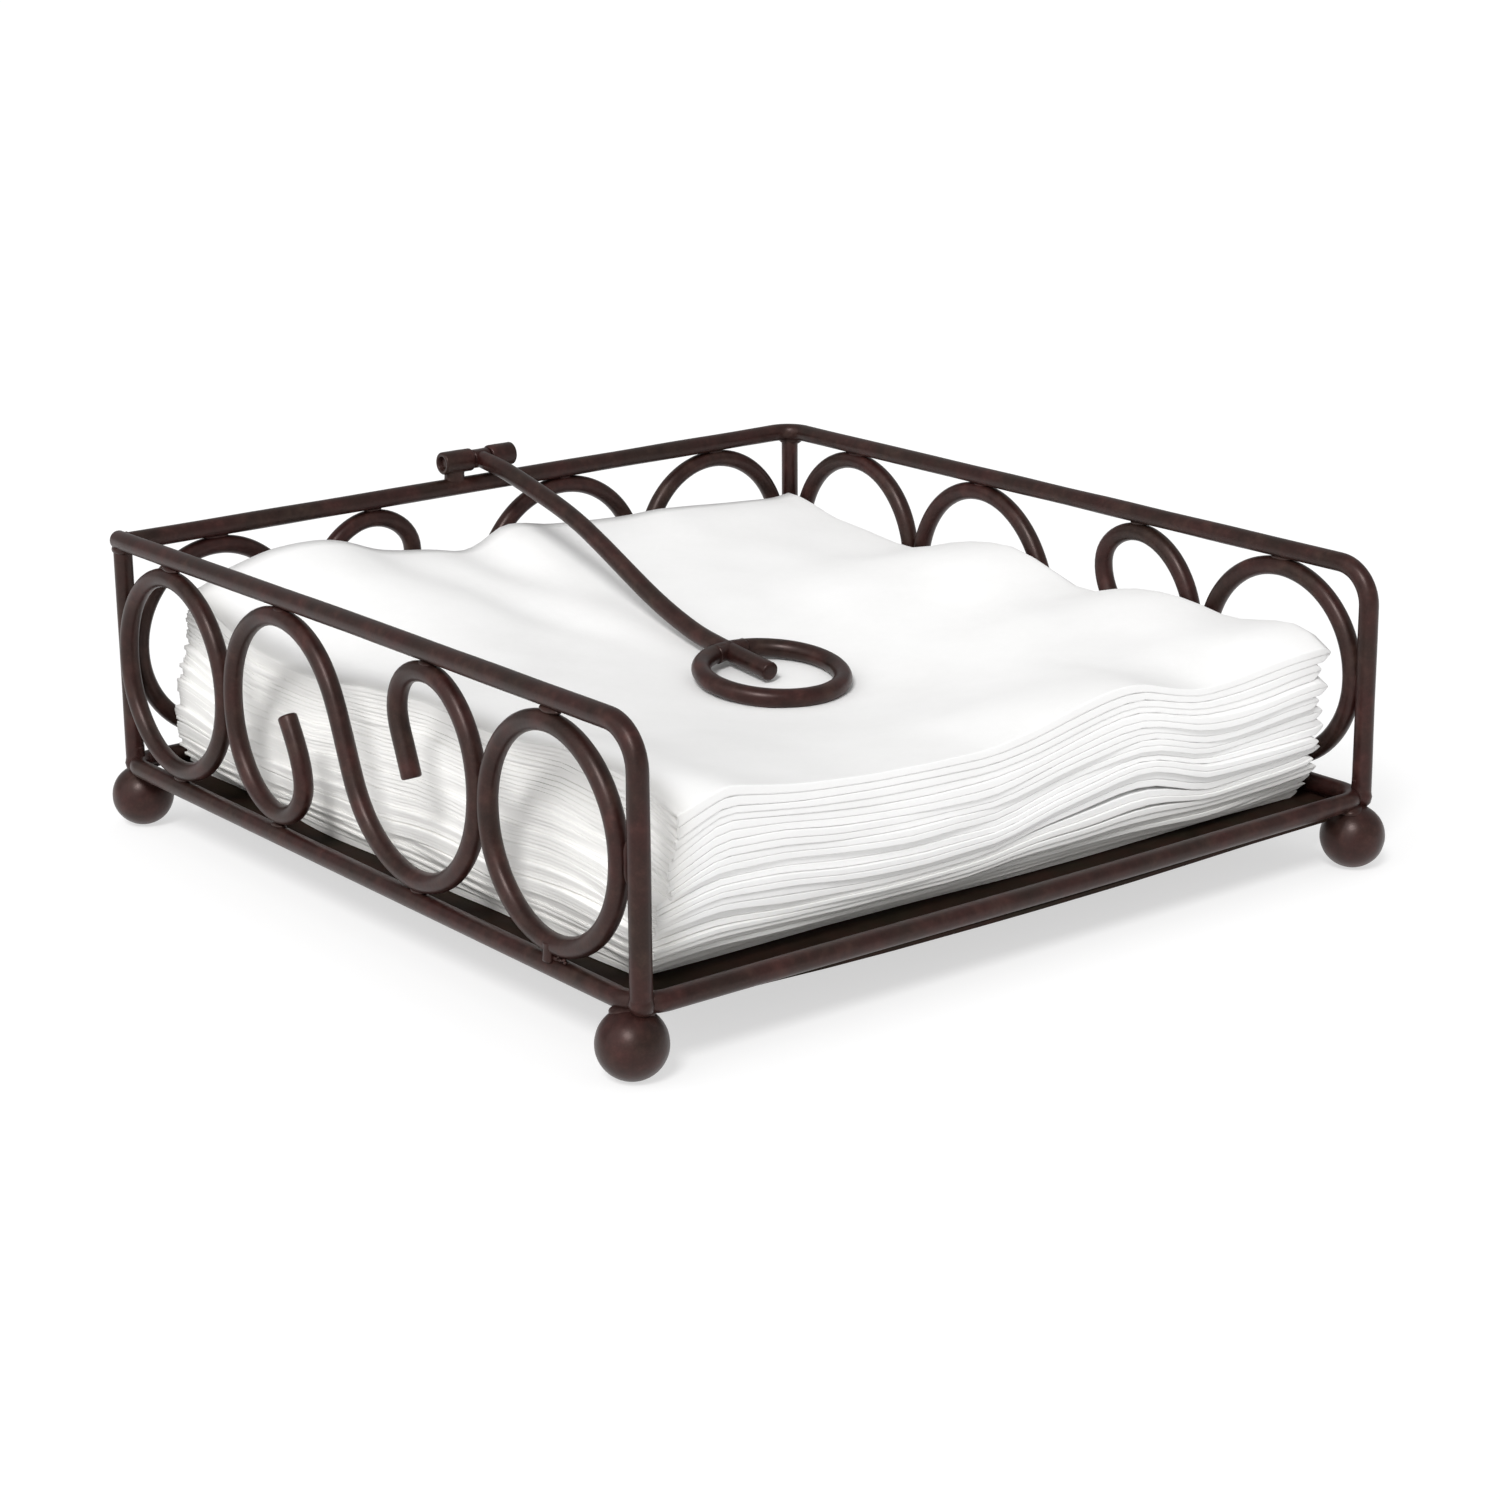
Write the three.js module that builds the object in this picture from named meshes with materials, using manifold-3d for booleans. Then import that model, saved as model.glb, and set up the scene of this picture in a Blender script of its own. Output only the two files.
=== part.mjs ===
// Flat napkin tray in bent round wire: a square base on four ball feet, scrollwork
// on the left, back and right sides, an open front, and a hinged press arm whose
// ring rests on a stack of folded paper napkins.
// Millimetres, +Z up, front toward -Y. The origin is on the table, under the
// middle of the tray.
import * as THREE from "three";
import Module from "manifold-3d";

const wasm = await Module();
wasm.setup();

// ---- driving dimensions -------------------------------------------------
const WIRE_R = 2.0; // all frame wire
const GAP = 0.3; // weld gap left between neighbouring pieces
const BASE_HALF = 93; // middle of the tray to the middle of a base rail
const BASE_CORNER = 6; // bend radius of the base loop, on the centreline
const BASE_Z = 14.25; // centreline of the base loop
const POST_HALF = 92.3; // middle of the tray to the posts and top rails
const LEFT_PANEL = -92.9; // planes of the scroll panels
const RIGHT_PANEL = 92.6;
const BACK_PANEL = 92.6;
const TOP_Z = 64.2; // centreline of the left top rail
const BACK_Z = 63.8; // centreline of the back and right top rails
const POST_BEND = 8; // bend from a post into a top rail
const RAIL_BEND = 5.5; // level bend at the back-right corner
const RAIL_OVERHANG = 1.4; // left rail past the back-left post
const PLATE_T = 1; // base plate
const PLATE_LEFT = -90.4; // base plate, welded on a little to the right
const PLATE_RIGHT = 93.2;
const PLATE_HALF_Y = 93;
const PLATE_CUT_R = 7.0; // round cuts that clear the feet
const FOOT_R = 6.65;
const FOOT_LONG = 92.84; // feet, set a little round from the corners
const FOOT_SHORT = 90.12;
const PANEL_Z = 39.03; // middle of the scroll panels
const RING_ALONG = 20; // side rings, half width and half height of the centreline
const RING_UP = 20.5;
const RING_AT = 67.6; // middle of a side to the middle of a ring
const HINGE_Z = 69.3;
const BARREL_R = 2.6;
const BARREL_BORE_R = 1.6;
const BARREL_FROM = 2.4; // middle of the hinge to a barrel's inner end
const BARREL_LEFT_TO = 10.0; // and to its outer end
const BARREL_RIGHT_TO = 9.2;
const PIN_R = 1.5;
const PIN_LEFT = -9.5; // ends of the hinge pin
const PIN_RIGHT = 8.7;
const PRESS_R = 14.65; // press ring, centreline
const PRESS_Y = -14.2; // middle of the press ring
const PRESS_Z = 40.85;
const PRESS_TILT = 6.8 * (Math.PI / 180); // ring and stub slope down to the front
const STACK_LEFT = -77.5; // napkin stack, its sides
const STACK_RIGHT = 89.5;
const STACK_FRONT = -80;
const STACK_BACK = 86;
// How the stack's sides stand at each share of its height: the open front leans
// out, and the left side spreads low down.
const STACK_LEAN = [[0, -1.6], [0.12, 1.2], [0.3, 3.4], [0.5, 4.2], [1, 5]];
const STACK_SPREAD = [[0, 1.7], [0.14, 2.8], [0.3, 4.1], [0.5, 3.9], [0.62, 1.8], [0.8, 0.3], [1, 0]];
const SIDES = 10; // facets round a wire

// Half of a scroll from its middle to its hooked end: along the side, up.
const SCROLL_HALF = [
  [2.51, 6.59], [6.28, 12.6], [11.5, 17.24], [17.86, 19.93], [24.75, 20.38],
  [31.38, 18.53], [37.03, 14.52], [41.12, 8.76], [43.2, 1.87], [42.98, -5.32],
  [40.42, -11.89], [35.75, -17.25], [29.25, -20.09], [22.47, -18.82], [18.01, -14.01],
  [18.4, -6.84], [22.18, -0.49],
];
// Side profile of the press arm from the hinge to the stub's end: y, z.
const ARM_PROFILE = [
  [92.3, 69.3], [81.4, 67.9], [77.1, 67], [60.8, 63.1], [52.75, 60.55],
  [45.1, 57.4], [37.6, 54], [30.1, 50.6], [22.4, 47.5], [14.25, 44.9],
  [10.15, 43.9], [0.4, 42.5], [-6.5, 41.7], [-13.4, 40.95],
];
// Heights of the napkin stack's top: six places each way, front row first, then
// along its four edges.
const GRID_STEP = 33.2;
const STACK_TOP = [
  [46.2, 43.5, 42, 45, 42.5, 45],
  [46.5, 43.4, 41.6, 43.6, 44.4, 46.5],
  [46.5, 43.5, 39, 39.5, 42.5, 45.5],
  [45.5, 45.5, 42.5, 43, 45.5, 48.5],
  [46, 50, 46.5, 46.5, 46.5, 45.5],
  [52, 57, 51, 52, 51, 48.3],
];
const FRONT_EDGE = [
  [-77.5, 44.6], [-72, 45.6], [-67, 46.8], [-59, 45.6], [-51, 44.5], [-41, 43.4], [-32, 42.5],
  [-21, 42.1], [-5, 42.1], [2, 43], [9, 44.4], [17, 46.2], [24, 47.7], [30, 48.1], [35, 47.7],
  [39, 46.3], [46, 43.9], [53, 41.5], [64, 42.1], [72, 43.7], [79, 44.3], [90, 44.7],
];
const BACK_EDGE = [
  [-77.5, 52.2], [-71, 55.8], [-65, 57.1], [-60, 58.3], [-53, 58.6], [-46, 58.4], [-40, 57.1],
  [-33, 54.3], [-25, 52.6], [-17, 51.5], [-9, 49.8], [-3, 51.5], [1, 54.3], [7, 54.1], [14, 52.5],
  [28, 51.8], [38, 51.4], [46, 51.8], [58, 51], [78, 49.3], [90, 48.3],
];
const RIGHT_EDGE = [
  [-85, 46.3], [-79, 48.3], [-74, 48.9], [-67, 48.1], [-58, 46.4], [-49, 46.7], [-41, 47.5],
  [-32, 47.4], [-27, 46.4], [-20, 44.3], [-14, 43.6], [-8, 46], [-2, 48.1], [4, 50.2], [10, 50.7],
  [18, 49.9], [26, 48.3], [35, 45.2], [42, 43.5], [51, 44.5], [60, 45.8], [70, 46.5], [79, 48.7], [86, 48.1],
];
const LEFT_EDGE = [
  [-85, 46.2], [-52, 48.4], [-33, 46], [-7, 47.5], [13, 45.8], [36, 43.4], [61, 44], [77, 48.8], [86, 52],
];

const V = (x, y, z) => new THREE.Vector3(x, y, z);

// ---- materials ----------------------------------------------------------
const bronze = new THREE.MeshStandardMaterial({ color: 0x3f322e, roughness: 0.45, metalness: 0.55 });
bronze.name = "bronze_coat";
const plateCoat = new THREE.MeshStandardMaterial({ color: 0x2a211e, roughness: 0.55, metalness: 0.5 });
plateCoat.name = "plate_coat";
const paper = new THREE.MeshStandardMaterial({ color: 0xf4f3f1, roughness: 0.95, metalness: 0 });
paper.name = "napkin_paper";

// ---- wire along a list of points ---------------------------------------
class WirePath extends THREE.Curve {
  constructor(points, closed = false) {
    super();
    this.points = points;
    const n = points.length;
    this.tangents = points.map((p, i) => {
      const a = points[closed ? (i + n - 1) % n : Math.max(i - 1, 0)];
      const b = points[closed ? (i + 1) % n : Math.min(i + 1, n - 1)];
      return b.clone().sub(a).normalize();
    });
  }
  mix(list, t) {
    const f = Math.min(Math.max(t, 0), 1) * (list.length - 1);
    const i = Math.min(Math.floor(f), list.length - 2);
    return list[i].clone().lerp(list[i + 1], f - i);
  }
  getPoint(t) {
    return this.mix(this.points, t);
  }
  getTangent(t) {
    return this.mix(this.tangents, t).normalize();
  }
  getUtoTmapping(u) {
    return u;
  }
}

function roundShape(r, sides) {
  const ring = [];
  for (let i = 0; i < sides; i++) {
    const a = ((i + 0.5) / sides) * Math.PI * 2;
    ring.push(new THREE.Vector2(Math.cos(a) * r, Math.sin(a) * r));
  }
  return new THREE.Shape(ring);
}

function wire(points, r = WIRE_R, sides = SIDES) {
  return new THREE.ExtrudeGeometry(roundShape(r, sides), {
    steps: points.length - 1,
    extrudePath: new WirePath(points),
    bevelEnabled: false,
  });
}

// A closed loop of wire that lies level: a torus moved onto the path.
function levelLoop(points, r = WIRE_R, sides = SIDES) {
  const n = points.length;
  const path = new WirePath(points, true);
  const geo = new THREE.TorusGeometry(10, 1, sides, n);
  const pos = geo.attributes.position;
  for (let j = 0; j <= sides; j++) {
    const a = ((j % sides) / sides) * Math.PI * 2;
    for (let i = 0; i <= n; i++) {
      const p = points[i % n];
      const t = path.tangents[i % n];
      const out = V(t.y, -t.x, 0);
      const q = p.clone().addScaledVector(out, Math.cos(a) * r);
      pos.setXYZ(j * (n + 1) + i, q.x, q.y, p.z + Math.sin(a) * r);
    }
  }
  geo.computeVertexNormals();
  return geo;
}

function arc(center, u, v, radius, from, to, steps) {
  const list = [];
  for (let i = 0; i <= steps; i++) {
    const a = from + ((to - from) * i) / steps;
    list.push(
      center.clone().addScaledVector(u, Math.cos(a) * radius).addScaledVector(v, Math.sin(a) * radius),
    );
  }
  return list;
}

function spline(points, count) {
  return new THREE.CatmullRomCurve3(points, false, "centripetal").getSpacedPoints(count);
}

// ---- solids --------------------------------------------------------------
function solid(geo) {
  const pos = geo.attributes.position;
  const index = geo.index;
  const count = index ? index.count : pos.count;
  const seen = new Map();
  const verts = [];
  const tris = [];
  for (let i = 0; i < count; i++) {
    const k = index ? index.getX(i) : i;
    const p = [pos.getX(k), pos.getY(k), pos.getZ(k)];
    const key = p.map((c) => Math.round(c * 1e4)).join(",");
    if (!seen.has(key)) {
      seen.set(key, verts.length / 3);
      verts.push(...p);
    }
    tris.push(seen.get(key));
  }
  const kept = [];
  for (let i = 0; i < tris.length; i += 3) {
    const [a, b, c] = [tris[i], tris[i + 1], tris[i + 2]];
    if (a !== b && b !== c && a !== c) kept.push(a, b, c);
  }
  return new wasm.Manifold(
    new wasm.Mesh({
      numProp: 3,
      vertProperties: new Float32Array(verts),
      triVerts: new Uint32Array(kept),
    }),
  );
}

function geometry(body) {
  const m = body.getMesh();
  const pos = new Float32Array(m.numVert * 3);
  for (let i = 0; i < m.numVert; i++) {
    for (let c = 0; c < 3; c++) pos[i * 3 + c] = m.vertProperties[i * m.numProp + c];
  }
  const geo = new THREE.BufferGeometry();
  geo.setAttribute("position", new THREE.BufferAttribute(pos, 3));
  geo.setIndex(new THREE.BufferAttribute(new Uint32Array(m.triVerts), 1));
  geo.computeVertexNormals();
  return geo;
}

const holder = new THREE.Group();
holder.name = "napkin_holder";
function add(name, geo, material = bronze) {
  const mesh = new THREE.Mesh(geo, material);
  mesh.name = name;
  holder.add(mesh);
}

// ---- base ----------------------------------------------------------------
const basePoints = [];
for (let k = 0; k < 4; k++) {
  const c = BASE_HALF - BASE_CORNER;
  const sx = [1, -1, -1, 1][k];
  const sy = [1, 1, -1, -1][k];
  const from = (k * Math.PI) / 2;
  basePoints.push(...arc(V(sx * c, sy * c, BASE_Z), V(1, 0, 0), V(0, 1, 0), BASE_CORNER, from, from + Math.PI / 2, 6));
}
add("base_frame", levelLoop(basePoints));

const plateTop = BASE_Z - WIRE_R - GAP;
const feet = [
  ["foot_front_left", -FOOT_LONG, -FOOT_SHORT],
  ["foot_front_right", FOOT_SHORT, -FOOT_LONG],
  ["foot_back_right", FOOT_LONG, FOOT_SHORT],
  ["foot_back_left", -FOOT_SHORT, FOOT_LONG],
];
const sheet = new THREE.BoxGeometry(PLATE_RIGHT - PLATE_LEFT, PLATE_HALF_Y * 2, PLATE_T);
sheet.translate((PLATE_LEFT + PLATE_RIGHT) / 2, 0, plateTop - PLATE_T / 2);
let plate = solid(sheet);
for (const [, x, y] of feet) {
  const cut = new THREE.CylinderGeometry(PLATE_CUT_R, PLATE_CUT_R, 6, 24, 1);
  cut.rotateX(Math.PI / 2);
  cut.translate(x, y, plateTop - PLATE_T / 2);
  plate = plate.subtract(solid(cut));
}
add("base_plate", geometry(plate), plateCoat);

// ball feet, each with a shallow seat for the bend of the base loop
const seat = solid(levelLoop(basePoints, WIRE_R + GAP, 14));
for (const [name, x, y] of feet) {
  const ball = new THREE.SphereGeometry(FOOT_R, 20, 12);
  ball.rotateX(Math.PI / 2);
  ball.translate(x, y, FOOT_R);
  add(name, geometry(solid(ball).subtract(seat)));
}

// ---- hoops and posts -----------------------------------------------------
const postFoot = BASE_Z + WIRE_R + GAP;
add(
  "left_hoop",
  wire([
    V(-POST_HALF, -POST_HALF, postFoot),
    ...arc(
      V(-POST_HALF, -POST_HALF + POST_BEND, TOP_Z - POST_BEND),
      V(0, -1, 0),
      V(0, 0, 1),
      POST_BEND,
      0,
      Math.PI / 2,
      9,
    ),
    V(-POST_HALF, POST_HALF + RAIL_OVERHANG, TOP_Z),
  ]),
);
add(
  "back_right_hoop",
  wire([
    V(-POST_HALF + WIRE_R + GAP, POST_HALF, BACK_Z),
    ...arc(V(POST_HALF - RAIL_BEND, POST_HALF - RAIL_BEND, BACK_Z), V(0, 1, 0), V(1, 0, 0), RAIL_BEND, 0, Math.PI / 2, 8),
    ...arc(
      V(POST_HALF, -POST_HALF + POST_BEND, BACK_Z - POST_BEND),
      V(0, 0, 1),
      V(0, -1, 0),
      POST_BEND,
      0,
      Math.PI / 2,
      9,
    ),
    V(POST_HALF, -POST_HALF, postFoot),
  ]),
);
const postHead = BACK_Z - WIRE_R - GAP;
add("post_back_left", wire([V(-92.1, 92.1, postFoot), V(-92.1, 92.1, postHead)]));
add("post_back_right", wire([V(91.8, 91.8, postFoot), V(91.8, 91.8, postHead)]));

// ---- scroll panels ---------------------------------------------------------
const half = SCROLL_HALF.map(([p, q]) => [p, q]);
const scrollLine = [...half.map(([p, q]) => [-p, -q]).reverse(), [0, 0], ...half];
function panel(side, origin, along, flip) {
  const up = V(0, 0, 1);
  const at = (p, q) => origin.clone().addScaledVector(along, p).addScaledVector(up, q);
  for (const [name, s] of [["ring_a", -1], ["ring_b", 1]]) {
    const ring = new THREE.TorusGeometry(RING_UP, WIRE_R, SIDES, 30);
    const rp = ring.attributes.position;
    for (let i = 0; i < rp.count; i++) {
      const a = Math.atan2(rp.getY(i), rp.getX(i));
      rp.setX(i, rp.getX(i) + (RING_ALONG - RING_UP) * Math.cos(a));
    }
    ring.rotateX(Math.PI / 2);
    if (Math.abs(along.y) > 0.5) ring.rotateZ(Math.PI / 2);
    const c = at(s * RING_AT, 0);
    ring.translate(c.x, c.y, c.z);
    add(`${side}_${name}`, ring);
  }
  add(`${side}_scroll`, wire(spline(scrollLine.map(([p, q]) => at(flip * p, q)), 48)));
}
panel("left", V(LEFT_PANEL, 0, PANEL_Z), V(0, 1, 0), 1);
panel("right", V(RIGHT_PANEL, 0, PANEL_Z), V(0, 1, 0), 1);
panel("back", V(0, BACK_PANEL, PANEL_Z), V(1, 0, 0), 1);

// ---- hinge -----------------------------------------------------------------
for (const [name, s, to] of [["hinge_barrel_left", -1, BARREL_LEFT_TO], ["hinge_barrel_right", 1, BARREL_RIGHT_TO]]) {
  const c = 0.35;
  const profile = [
    [BARREL_BORE_R, BARREL_FROM],
    [BARREL_R - c, BARREL_FROM],
    [BARREL_R, BARREL_FROM + c],
    [BARREL_R, to - c],
    [BARREL_R - c, to],
    [BARREL_BORE_R, to],
    [BARREL_BORE_R, BARREL_FROM],
  ].map(([r, y]) => new THREE.Vector2(r, y));
  const barrel = new THREE.LatheGeometry(profile, 20);
  barrel.rotateZ(s > 0 ? -Math.PI / 2 : Math.PI / 2);
  barrel.translate(0, POST_HALF, HINGE_Z);
  add(name, barrel);
}
const pin = new THREE.CylinderGeometry(PIN_R, PIN_R, PIN_RIGHT - PIN_LEFT, 18, 1);
pin.rotateZ(Math.PI / 2);
pin.translate((PIN_LEFT + PIN_RIGHT) / 2, POST_HALF, HINGE_Z);
add("hinge_pin", pin);

// ---- press arm and ring -----------------------------------------------------
const armLine = spline(ARM_PROFILE.map(([y, z]) => V(0, y, z)), 26);
const armTube = solid(wire(armLine));
const notch = new THREE.CylinderGeometry(2.05, 2.05, 12, 20, 1); // seat of the pin
notch.rotateZ(Math.PI / 2);
notch.translate(0, POST_HALF, HINGE_Z);
add("press_arm", geometry(armTube.subtract(solid(notch))));

const press = new THREE.TorusGeometry(PRESS_R, WIRE_R, SIDES, 32);
press.rotateX(PRESS_TILT);
press.translate(0, PRESS_Y, PRESS_Z);
const passage = solid(wire(armLine, WIRE_R + GAP, 14));
add("press_ring", geometry(solid(press).subtract(passage)));

// ---- napkins ----------------------------------------------------------------
const clampIndex = (i) => Math.min(Math.max(i, 0), 5);
function cubic(a, b, c, d, t) {
  return b + 0.5 * t * (c - a + t * (2 * a - 5 * b + 4 * c - d + t * (3 * (b - c) + d - a)));
}
function armUnder(y) {
  const list = ARM_PROFILE;
  if (y <= list[list.length - 1][0]) return 1e3;
  for (let i = 0; i + 1 < list.length; i++) {
    const [y0, z0] = list[i];
    const [y1, z1] = list[i + 1];
    if (y <= y0 && y >= y1) return z1 + ((z0 - z1) * (y - y1)) / (y0 - y1) - WIRE_R - 0.6;
  }
  return 1e3;
}
function gridTop(x, y) {
  const u = (x - STACK_LEFT) / GRID_STEP;
  const v = (y - STACK_FRONT) / GRID_STEP;
  const i = Math.min(Math.max(Math.floor(u), 0), 4);
  const j = Math.min(Math.max(Math.floor(v), 0), 4);
  const fu = Math.min(Math.max(u - i, 0), 1);
  const fv = Math.min(Math.max(v - j, 0), 1);
  const rows = [-1, 0, 1, 2].map((dj) => {
    const row = STACK_TOP[clampIndex(j + dj)];
    return cubic(row[clampIndex(i - 1)], row[i], row[clampIndex(i + 1)], row[clampIndex(i + 2)], fu);
  });
  return cubic(...rows, fv);
}
function along(edge, t) {
  if (t <= edge[0][0]) return edge[0][1];
  for (let i = 0; i + 1 < edge.length; i++) {
    const [a, p] = edge[i];
    const [b, q] = edge[i + 1];
    if (t <= b) return p + ((q - p) * (t - a)) / (b - a);
  }
  return edge[edge.length - 1][1];
}
function fade(t) {
  const f = 1 - Math.min(Math.max(t, 0), 1);
  return f * f * (3 - 2 * f);
}
function stackTop(x, y) {
  let z = gridTop(x, y);
  const front = (along(FRONT_EDGE, x) - gridTop(x, STACK_FRONT)) * fade((y - STACK_FRONT) / 45);
  const back = (along(BACK_EDGE, x) - gridTop(x, STACK_BACK)) * fade((STACK_BACK - y) / 45);
  const right = (along(RIGHT_EDGE, y) - gridTop(STACK_RIGHT, y)) * fade((STACK_RIGHT - x) / 60);
  const left = (along(LEFT_EDGE, y) - gridTop(STACK_LEFT, y)) * fade((x - STACK_LEFT) / 30);
  z += front + back + right + left;
  // the press ring lies in a dent, and the arm passes over the stack
  const under = PRESS_Z - WIRE_R - 0.5 + (y - PRESS_Y) * Math.tan(PRESS_TILT);
  const away = Math.max(Math.hypot(x, y - PRESS_Y) - 27, 0);
  z = Math.min(z, under + away * 0.6);
  z = Math.min(z, armUnder(y) + Math.max(Math.abs(x) - 6, 0) * 0.8);
  return z;
}
const stackBottom = plateTop + GAP;
const stackWide = STACK_RIGHT - STACK_LEFT;
const stackDeep = STACK_BACK - STACK_FRONT;
const stack = new THREE.BoxGeometry(stackWide, stackDeep, 1, 20, 16, 6);
const sp = stack.attributes.position;
for (let i = 0; i < sp.count; i++) {
  const x = sp.getX(i) + (STACK_LEFT + STACK_RIGHT) / 2;
  const y = sp.getY(i) + (STACK_FRONT + STACK_BACK) / 2;
  const up = sp.getZ(i) + 0.5;
  const leant = y - (along(STACK_LEAN, up) * (STACK_BACK - y)) / stackDeep;
  const spread = x - along(STACK_SPREAD, up) * ((STACK_RIGHT - x) / stackWide) ** 3;
  sp.setXYZ(i, spread, leant, stackBottom + (stackTop(x, leant) - stackBottom) * up);
}
stack.computeVertexNormals();
add("napkin_stack", stack, paper);

export default holder;
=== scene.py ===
import math

import bpy
import numpy as np
from mathutils import Matrix, Vector


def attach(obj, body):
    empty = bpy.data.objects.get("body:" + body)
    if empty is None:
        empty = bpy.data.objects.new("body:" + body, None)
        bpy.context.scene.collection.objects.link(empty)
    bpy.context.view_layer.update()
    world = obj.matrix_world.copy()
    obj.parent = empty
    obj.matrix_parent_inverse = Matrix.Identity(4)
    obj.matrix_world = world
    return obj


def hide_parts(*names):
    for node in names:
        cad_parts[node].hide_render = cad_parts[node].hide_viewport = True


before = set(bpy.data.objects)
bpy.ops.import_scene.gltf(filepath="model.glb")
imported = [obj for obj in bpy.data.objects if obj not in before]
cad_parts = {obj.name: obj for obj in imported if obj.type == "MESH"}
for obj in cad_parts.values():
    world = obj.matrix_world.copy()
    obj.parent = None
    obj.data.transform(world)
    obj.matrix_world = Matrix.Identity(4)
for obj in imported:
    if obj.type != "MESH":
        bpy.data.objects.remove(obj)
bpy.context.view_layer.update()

MM = 0.001

# ---------------------------------------------------------------- dimensions
# Millimetres, in the frame's own axes: front toward -Y, origin on the table.
WIRE_R = 2.0
BASE_HALF, BASE_CORNER, BASE_Z = 93.0, 6.0, 14.25
POST_HALF, PANEL_Z = 92.3, 39.03
LEFT_PANEL, RIGHT_PANEL, BACK_PANEL = -92.9, 92.6, 92.6
TOP_Z, BACK_Z = 64.2, 63.8
BACK_LEFT_Z, RIGHT_FRONT_Z, LEFT_BACK_Z = 63.3, 62.65, 63.9  # the rails are not quite level
POST_BEND, RAIL_BEND, RAIL_OVERHANG = 8.0, 5.5, 1.0
FOOT_R = 6.65
FEET = {
    "foot_front_left": (-92.84, -90.12), "foot_front_right": (90.12, -92.84),
    "foot_back_right": (92.84, 90.12), "foot_back_left": (-90.12, 92.84),
}
HINGE_Z = 69.3
BARREL_R, BORE_R, BARREL_FROM = 2.6, 1.6, 2.4
PIN_R, PIN_LEFT, PIN_RIGHT = 1.5, -9.5, 8.7
PRESS_R, PRESS_Y, PRESS_Z = 14.65, -14.2, 40.85
PRESS_TILT = math.radians(6.8)
PLATE_TOP = 11.95
SCROLL_HALF = [
    (2.59, 6.72), (6.48, 12.86), (11.87, 17.59), (18.44, 20.34), (25.56, 20.80),
    (32.40, 18.91), (38.23, 14.82), (42.46, 8.94), (44.61, 1.91), (44.38, -5.43),
    (41.73, -12.13), (36.91, -17.6), (30.2, -20.5), (23.2, -19.2), (18.6, -14.3),
    (19.00, -6.98), (22.90, -0.50),
]
SCROLL_HALF = [(p * 0.988, z * 0.995) for p, z in SCROLL_HALF]
# the left scroll is bent a little unevenly
LEFT_SCROLL = [
    (-21.6, -0.2), (-19.3, 5.7), (-17.5, 12.2), (-19.9, 18.3), (-25.9, 21.15), (-32.6, 20.6),
    (-38.2, 16.85), (-42.0, 11.2), (-43.7, 4.6), (-43.4, -2.3), (-41.2, -8.7), (-37.2, -14.3),
    (-31.7, -18.35), (-25.2, -20.4), (-18.3, -20.2), (-11.8, -18.0), (-6.2, -14.1), (-2.0, -8.7),
    (0.8, -2.4), (3.3, 4.0), (6.2, 10.25), (10.3, 15.65), (16.0, 19.5), (22.6, 21.2),
    (29.4, 20.8), (35.7, 18.15), (40.8, 13.6), (44.1, 7.55), (45.3, 0.85), (44.6, -6.0),
    (41.9, -12.3), (37.2, -17.3), (30.6, -20.1), (23.6, -19.0), (18.9, -13.8), (19.6, -6.6), (23.6, 1.0),
]
ARM_PROFILE = [
    (92.3, 69.3), (81.4, 67.9), (77.1, 67.0), (60.8, 63.1), (52.75, 60.55),
    (45.1, 57.4), (37.6, 54.0), (30.1, 50.6), (22.4, 47.5), (14.25, 44.9),
    (10.15, 43.9), (0.4, 42.5), (-6.5, 41.7), (-13.4, 40.95),
]
NAPKINS = 13
STACK_LEFT, STACK_RIGHT, STACK_FRONT, STACK_BACK = -77.5, 89.5, -80.0, 86.0
STACK_X, STACK_Y = (STACK_LEFT + STACK_RIGHT) / 2, (STACK_FRONT + STACK_BACK) / 2
GRID_STEP = 33.2
# heights of the stack's top: six places each way, front row first, then along its edges
STACK_TOP = np.array([
    [46.2, 43.5, 42, 45.6, 44.4, 45],
    [46.5, 43.2, 40.2, 43.8, 44.8, 46.5],
    [46.5, 43.5, 39, 39.8, 42.8, 45.5],
    [45.5, 45.5, 42.5, 43, 45.5, 48.5],
    [46, 50, 46.5, 46.5, 46.5, 45.5],
    [52, 57, 51, 52, 51, 48.3],
], float)
FRONT_EDGE = [
    (-77.5, 47), (-72, 47.2), (-67, 47), (-59, 45.6), (-51, 44.5), (-41, 43.4), (-32, 42.5),
    (-21, 42.1), (-5, 42.1), (2, 42.9), (9, 44.2), (17, 46), (24, 47.3), (30, 47.8), (35, 47.3),
    (39, 46.1), (46, 43.9), (53, 42.2), (64, 42.2), (72, 43), (79, 43.5), (90, 43.8),
]
BACK_EDGE = [
    (-77.5, 52.2), (-71, 55.8), (-65, 57.1), (-60, 58.3), (-53, 58.6), (-46, 58.4), (-40, 57.1),
    (-33, 54.3), (-25, 52.6), (-17, 51.5), (-9, 49.6), (-3, 51.5), (1, 54.5), (7, 54.1), (14, 52.5),
    (28, 51.8), (38, 51.4), (46, 51.8), (58, 51), (78, 49.3), (90, 48.3),
]
RIGHT_EDGE = [
    (-88, 44.2), (-85, 47.2), (-80, 49.9), (-76, 50.6), (-70, 49.3), (-63, 47.3), (-57, 47),
    (-49, 48.3), (-41, 48.8), (-33, 48.3), (-27, 47.3), (-20, 44.9), (-14, 44.5), (-8, 46.4), (-2, 48.1), (4, 50.2), (10, 50.7),
    (18, 49.9), (26, 48.3), (35, 45.2), (42, 43.4), (51, 44.5), (60, 45.8), (70, 46.5), (79, 48.7), (86, 48.1),
]
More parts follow.
